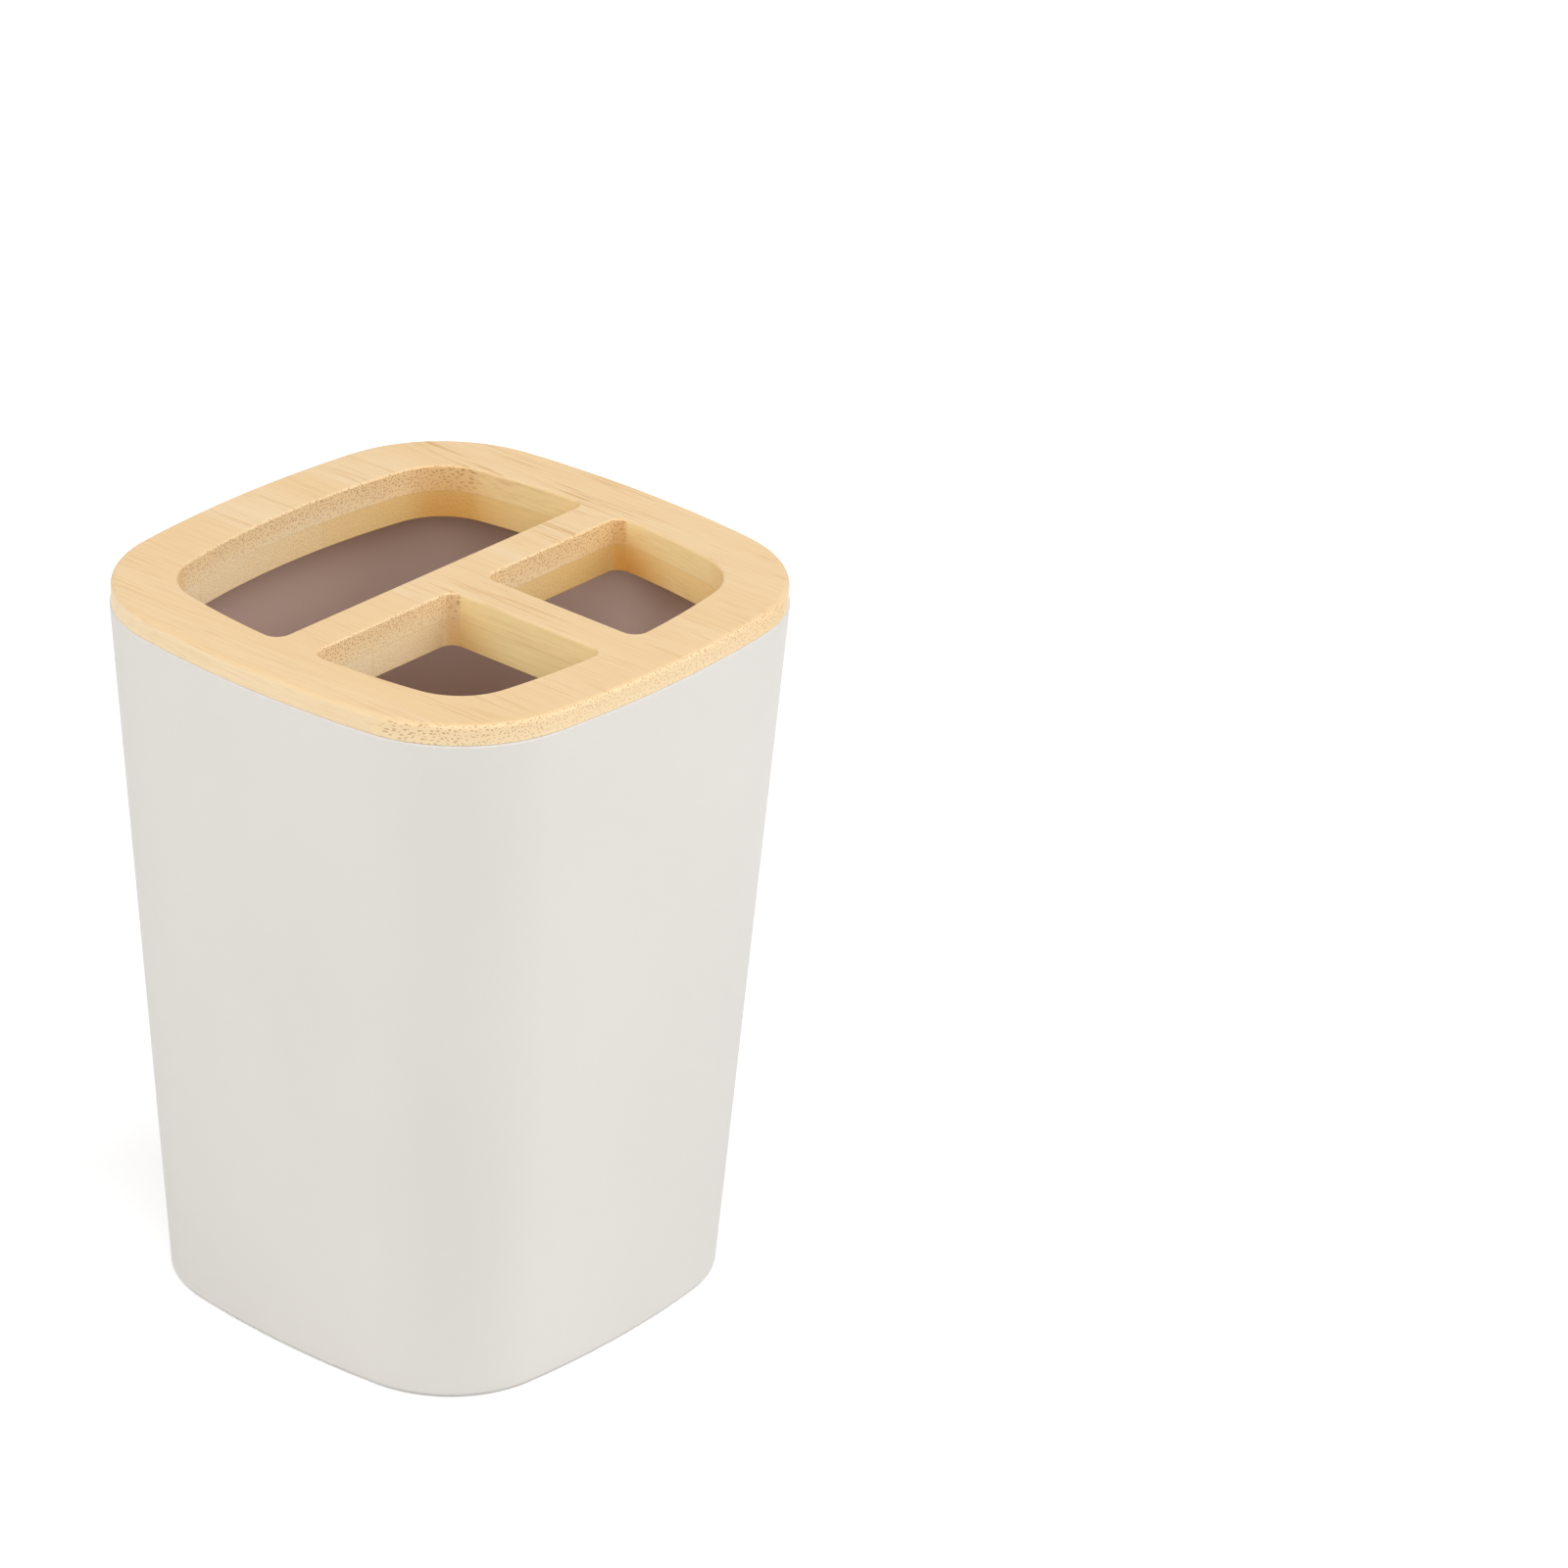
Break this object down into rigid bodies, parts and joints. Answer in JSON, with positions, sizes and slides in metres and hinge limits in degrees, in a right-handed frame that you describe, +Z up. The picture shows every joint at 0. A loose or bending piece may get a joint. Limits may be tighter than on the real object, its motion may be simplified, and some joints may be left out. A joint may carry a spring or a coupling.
{
  "type": "toothbrush holder",
  "caption": "Tapered square toothbrush cup with bowed sides and soft corners, under a lift-off laminated bamboo lid with a long slot and smaller brush openings.",
  "frame": {"origin": "centre of the cup's foot, on the surface that it stands on", "axes": "+Z up; +X along the crossbar of the lid; +Y from the two brush openings to the long slot"},
  "size_m": [0.0804, 0.0804, 0.1073],
  "materials": {
    "cup_plastic": "matt off-white moulded plastic with a very fine grain",
    "bamboo_upper_ply": "sanded bamboo with a thin satin lacquer, grain front to back, dotted end grain",
    "bamboo_lower_ply": "sanded bamboo, paler and finer grained, milled faces"
  },
  "bodies": {
    "cup": {"cup": "cup_plastic"},
    "lid": {"upper_ply_trim_strip": "bamboo_upper_ply", "upper_ply_left_strip": "bamboo_upper_ply", "upper_ply_centre_strip": "bamboo_upper_ply", "upper_ply_right_strip": "bamboo_upper_ply", "lower_ply_left_strip": "bamboo_lower_ply", "lower_ply_centre_strip": "bamboo_lower_ply", "lower_ply_right_strip": "bamboo_lower_ply", "lower_ply_trim_strip": "bamboo_lower_ply"}
  },
  "joints": [
    {"name": "lid_lift", "type": "slide", "parent": "cup", "child": "lid", "axis": [0, 0, 1], "range_m": [0, 0.03]}
  ]
}
